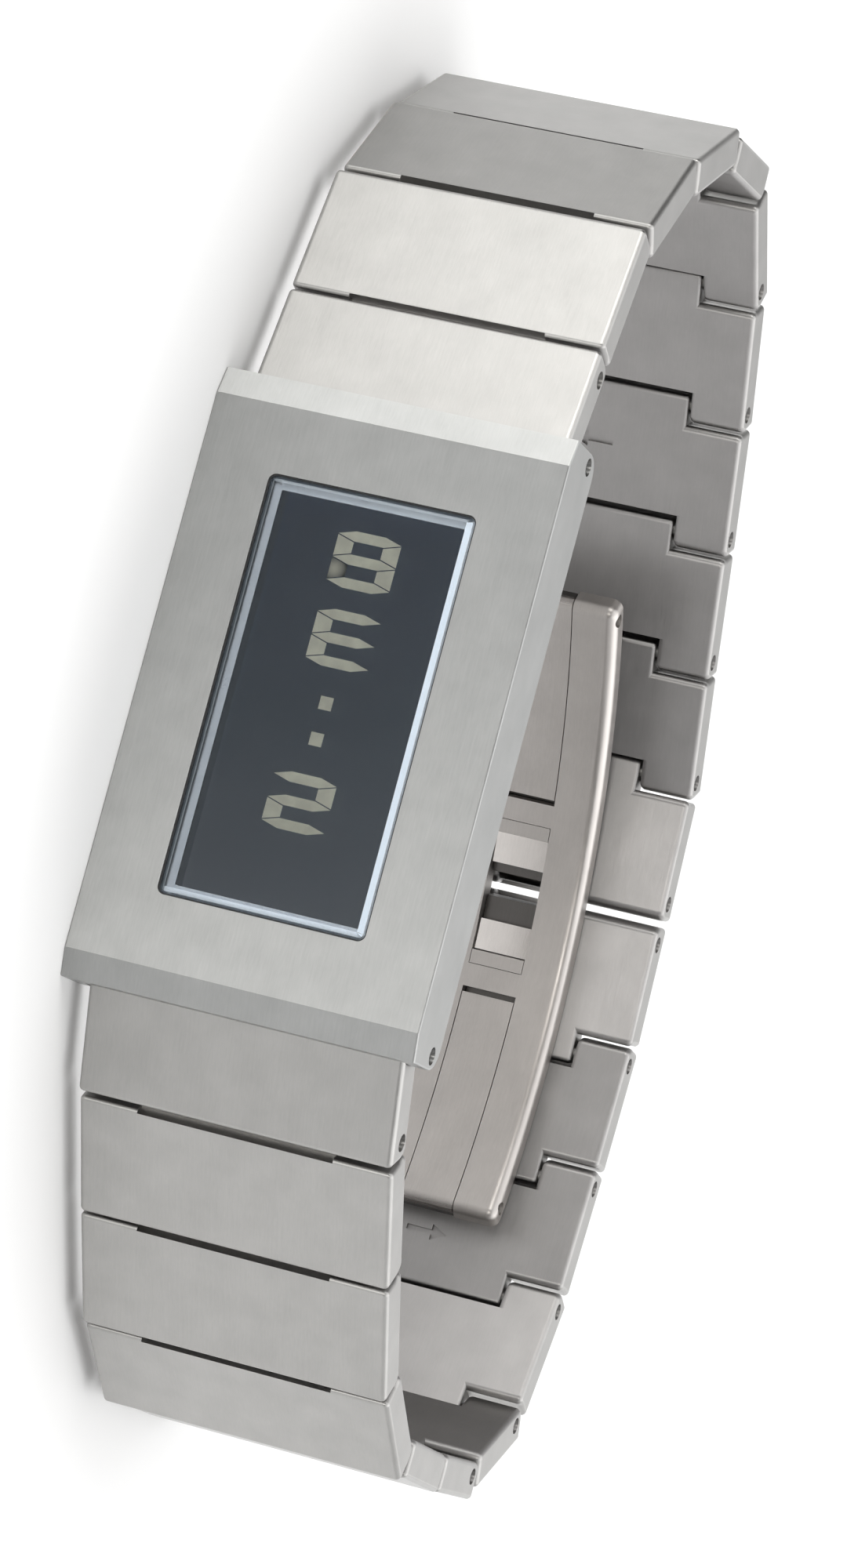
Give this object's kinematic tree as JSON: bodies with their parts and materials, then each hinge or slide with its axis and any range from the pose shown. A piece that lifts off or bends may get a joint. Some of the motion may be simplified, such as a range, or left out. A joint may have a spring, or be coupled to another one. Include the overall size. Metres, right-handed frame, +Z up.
{
  "type": "digital wristwatch",
  "caption": "Slim all-steel digital watch: rectangular bevelled case with a narrow display, a solid-link bracelet and a folding clasp.",
  "frame": {"origin": "centre of the case's lower side face, on which the watch lies", "axes": "+X along the case's length, from the end at the top of the picture to the other, -Y the way the display faces, +Z up, across the band, from the lower side face to the upper"},
  "size_m": [0.0877, 0.0577, 0.0223],
  "materials": {
    "bracelet_steel": "finely brushed outer faces, satin sides and inner faces",
    "case_steel": "brushed along the length, satin sides",
    "case_back_steel": "satin",
    "pin_steel": "drawn rod",
    "clasp_steel": "satin inner face with a polished rim",
    "blade_steel": "satin",
    "catch_steel": "satin",
    "screw_steel": "turned",
    "button_steel": "turned and satin",
    "crystal": "ground and polished mineral glass",
    "gasket_dark": "thin black sealing line",
    "display_surround": "bright silver-blue plating",
    "lcd_panel": "dark blue-grey liquid crystal",
    "lcd_segments": "pale greenish segments",
    "module_frame": "moulded black plastic",
    "zebra_rubber": "layered conducting rubber",
    "circuit_board": "green board",
    "chip_cover": "black epoxy",
    "quartz_can": "drawn can",
    "battery": "plated cell",
    "battery_clip": "spring steel",
    "seal_rubber": "black rubber"
  },
  "bodies": {
    "case": {"battery": "battery", "battery_clip": "battery_clip", "board_screws": "screw_steel", "button_seals": "seal_rubber", "case_back": "case_back_steel", "case_back_gasket": "seal_rubber", "case_back_screws": "screw_steel", "case_body": "case_steel", "chip_cover": "chip_cover", "circuit_board": "circuit_board", "crystal": "crystal", "crystal_gasket": "gasket_dark", "display_surround": "display_surround", "lcd_panel": "lcd_panel", "lcd_segments": "lcd_segments", "module_frame": "module_frame", "quartz_can": "quartz_can", "zebra_strips": "zebra_rubber"},
    "button_upper": {"button_upper": "button_steel"},
    "button_lower": {"button_lower": "button_steel"},
    "upper_link_01": {"upper_link_01": "bracelet_steel", "upper_pins_01": "pin_steel"},
    "upper_link_02": {"upper_link_02": "bracelet_steel"},
    "upper_link_03": {"upper_link_03": "bracelet_steel", "upper_pins_03": "pin_steel"},
    "upper_link_04": {"upper_link_04": "bracelet_steel"},
    "upper_link_05": {"upper_link_05": "bracelet_steel", "upper_pins_05": "pin_steel"},
    "upper_link_06": {"upper_link_06": "bracelet_steel"},
    "upper_link_07": {"upper_link_07": "bracelet_steel", "upper_pins_07": "pin_steel"},
    "upper_link_08": {"upper_link_08": "bracelet_steel"},
    "upper_link_09": {"upper_link_09": "bracelet_steel", "upper_pins_09": "pin_steel"},
    "upper_link_10": {"upper_link_10": "bracelet_steel"},
    "upper_link_11": {"upper_link_11": "bracelet_steel", "upper_pins_11": "pin_steel"},
    "lower_link_01": {"lower_link_01": "bracelet_steel", "lower_pins_01": "pin_steel"},
    "lower_link_02": {"lower_link_02": "bracelet_steel"},
    "lower_link_03": {"lower_link_03": "bracelet_steel", "lower_pins_03": "pin_steel"},
    "lower_link_04": {"lower_link_04": "bracelet_steel"},
    "lower_link_05": {"lower_link_05": "bracelet_steel", "lower_pins_05": "pin_steel"},
    "lower_link_06": {"lower_link_06": "bracelet_steel"},
    "lower_link_07": {"lower_link_07": "bracelet_steel", "lower_pins_07": "pin_steel"},
    "lower_link_08": {"lower_link_08": "bracelet_steel"},
    "lower_link_09": {"lower_link_09": "bracelet_steel", "lower_pins_09": "pin_steel"},
    "lower_link_10": {"lower_link_10": "bracelet_steel"},
    "lower_link_11": {"lower_link_11": "bracelet_steel", "lower_pins_11": "pin_steel"},
    "upper_blade": {"upper_blade": "blade_steel"},
    "clasp_frame": {"clasp_frame": "clasp_steel", "frame_pins": "pin_steel", "upper_catch": "catch_steel", "lower_catch": "catch_steel"},
    "lower_blade": {"lower_blade": "blade_steel"}
  },
  "joints": [
    {"name": "lower_hinge_01", "type": "hinge", "parent": "case", "child": "lower_link_01", "pos_m": [0.01795, 0.0012, 0.01115], "axis": [0, 0, 1], "range_deg": [-28.3, 0]},
    {"name": "lower_hinge_02", "type": "hinge", "parent": "lower_link_01", "child": "lower_link_02", "pos_m": [0.02315, 0.00377, 0.01115], "axis": [0, 0, 1], "range_deg": [-15.9, 0]},
    {"name": "lower_hinge_03", "type": "hinge", "parent": "lower_link_02", "child": "lower_link_03", "pos_m": [0.02979, 0.00939, 0.01115], "axis": [0, 0, 1], "range_deg": [-3.7, 0]},
    {"name": "lower_hinge_04", "type": "hinge", "parent": "lower_link_03", "child": "lower_link_04", "pos_m": [0.03627, 0.0152, 0.01115], "axis": [0, 0, 1], "range_deg": [-19.3, 0]},
    {"name": "lower_hinge_05", "type": "hinge", "parent": "lower_link_04", "child": "lower_link_05", "pos_m": [0.04072, 0.02267, 0.01115], "axis": [0, 0, 1], "range_deg": [-29.1, 0]},
    {"name": "lower_hinge_06", "type": "hinge", "parent": "lower_link_05", "child": "lower_link_06", "pos_m": [0.04128, 0.03136, 0.01115], "axis": [0, 0, 1], "range_deg": [-5, 0]},
    {"name": "lower_hinge_07", "type": "hinge", "parent": "lower_link_06", "child": "lower_link_07", "pos_m": [0.04138, 0.04005, 0.01115], "axis": [0, 0, 1], "range_deg": [-28.9, 0]},
    {"name": "lower_hinge_08", "type": "hinge", "parent": "lower_link_07", "child": "lower_link_08", "pos_m": [0.03754, 0.04786, 0.01115], "axis": [0, 0, 1], "range_deg": [-43.3, 0]},
    {"name": "lower_hinge_09", "type": "hinge", "parent": "lower_link_08", "child": "lower_link_09", "pos_m": [0.0295, 0.05119, 0.01115], "axis": [0, 0, 1], "range_deg": [-16.7, 0]},
    {"name": "lower_hinge_10", "type": "hinge", "parent": "lower_link_09", "child": "lower_link_10", "pos_m": [0.02088, 0.05237, 0.01115], "axis": [0, 0, 1], "range_deg": [-4.9, 0]},
    {"name": "lower_hinge_11", "type": "hinge", "parent": "lower_link_10", "child": "lower_link_11", "pos_m": [0.01221, 0.05311, 0.01115], "axis": [0, 0, 1], "range_deg": [-12.5, 0]},
    {"name": "upper_hinge_01", "type": "hinge", "parent": "case", "child": "upper_link_01", "pos_m": [-0.01795, 0.0012, 0.01115], "axis": [0, 0, 1], "range_deg": [-2.5, 0]},
    {"name": "upper_hinge_02", "type": "hinge", "parent": "upper_link_01", "child": "upper_link_02", "pos_m": [-0.02352, 0.00281, 0.01115], "axis": [0, 0, 1], "range_deg": [-2.5, 0]},
    {"name": "upper_hinge_03", "type": "hinge", "parent": "upper_link_02", "child": "upper_link_03", "pos_m": [-0.03185, 0.00533, 0.01115], "axis": [0, 0, 1], "range_deg": [-2.5, 0]},
    {"name": "upper_hinge_04", "type": "hinge", "parent": "upper_link_03", "child": "upper_link_04", "pos_m": [-0.03808, 0.0114, 0.01115], "axis": [0, 0, 1], "range_deg": [-2.5, 0]},
    {"name": "upper_hinge_05", "type": "hinge", "parent": "upper_link_04", "child": "upper_link_05", "pos_m": [-0.04252, 0.01889, 0.01115], "axis": [0, 0, 1], "range_deg": [-2.5, 0]},
    {"name": "upper_hinge_06", "type": "hinge", "parent": "upper_link_05", "child": "upper_link_06", "pos_m": [-0.0432, 0.02756, 0.01115], "axis": [0, 0, 1], "range_deg": [-2.5, 0]},
    {"name": "upper_hinge_07", "type": "hinge", "parent": "upper_link_06", "child": "upper_link_07", "pos_m": [-0.03785, 0.03442, 0.01115], "axis": [0, 0, 1], "range_deg": [-2.5, 0]},
    {"name": "upper_hinge_08", "type": "hinge", "parent": "upper_link_07", "child": "upper_link_08", "pos_m": [-0.0306, 0.03924, 0.01115], "axis": [0, 0, 1], "range_deg": [-2.5, 0]},
    {"name": "upper_hinge_09", "type": "hinge", "parent": "upper_link_08", "child": "upper_link_09", "pos_m": [-0.02293, 0.04333, 0.01115], "axis": [0, 0, 1], "range_deg": [-6, 0]},
    {"name": "upper_hinge_10", "type": "hinge", "parent": "upper_link_09", "child": "upper_link_10", "pos_m": [-0.01515, 0.04723, 0.01115], "axis": [0, 0, 1], "range_deg": [-6, 0]},
    {"name": "upper_hinge_11", "type": "hinge", "parent": "upper_link_10", "child": "upper_link_11", "pos_m": [-0.00744, 0.05127, 0.01115], "axis": [0, 0, 1], "range_deg": [-6, 0]},
    {"name": "upper_blade_pivot", "type": "hinge", "parent": "upper_link_11", "child": "upper_blade", "pos_m": [0.00094, 0.05228, 0.01115], "axis": [0, 0, 1], "range_deg": [0, 25]},
    {"name": "clasp_open", "type": "hinge", "parent": "upper_blade", "child": "clasp_frame", "pos_m": [-0.01539, 0.03979, 0.01115], "axis": [0, 0, -1], "range_deg": [0, 75]},
    {"name": "lower_blade_fold", "type": "hinge", "parent": "clasp_frame", "child": "lower_blade", "pos_m": [0.02384, 0.04895, 0.01115], "axis": [0, 0, 1], "range_deg": [-37.5, 0]},
    {"name": "button_upper_press", "type": "slide", "parent": "case", "child": "button_upper", "axis": [0, 0, 1], "range_m": [0, 0.0004], "stiffness_N_per_m": 300},
    {"name": "button_lower_press", "type": "slide", "parent": "case", "child": "button_lower", "axis": [0, 0, 1], "range_m": [0, 0.0004], "stiffness_N_per_m": 300}
  ],
  "couplings": [
    {"joint": "upper_hinge_01", "follows": "lower_hinge_01", "ratio": 0.08834},
    {"joint": "upper_hinge_02", "follows": "lower_hinge_02", "ratio": 0.15723},
    {"joint": "upper_hinge_03", "follows": "lower_hinge_03", "ratio": 0.67568},
    {"joint": "upper_hinge_04", "follows": "lower_hinge_04", "ratio": 0.12953},
    {"joint": "upper_hinge_05", "follows": "lower_hinge_05", "ratio": 0.08591},
    {"joint": "upper_hinge_06", "follows": "lower_hinge_06", "ratio": 0.5},
    {"joint": "upper_hinge_07", "follows": "lower_hinge_07", "ratio": 0.08651},
    {"joint": "upper_hinge_08", "follows": "lower_hinge_08", "ratio": 0.05774},
    {"joint": "upper_blade_pivot", "follows": "clasp_open", "ratio": 0.33333},
    {"joint": "lower_blade_fold", "follows": "clasp_open", "ratio": -0.5}
  ]
}
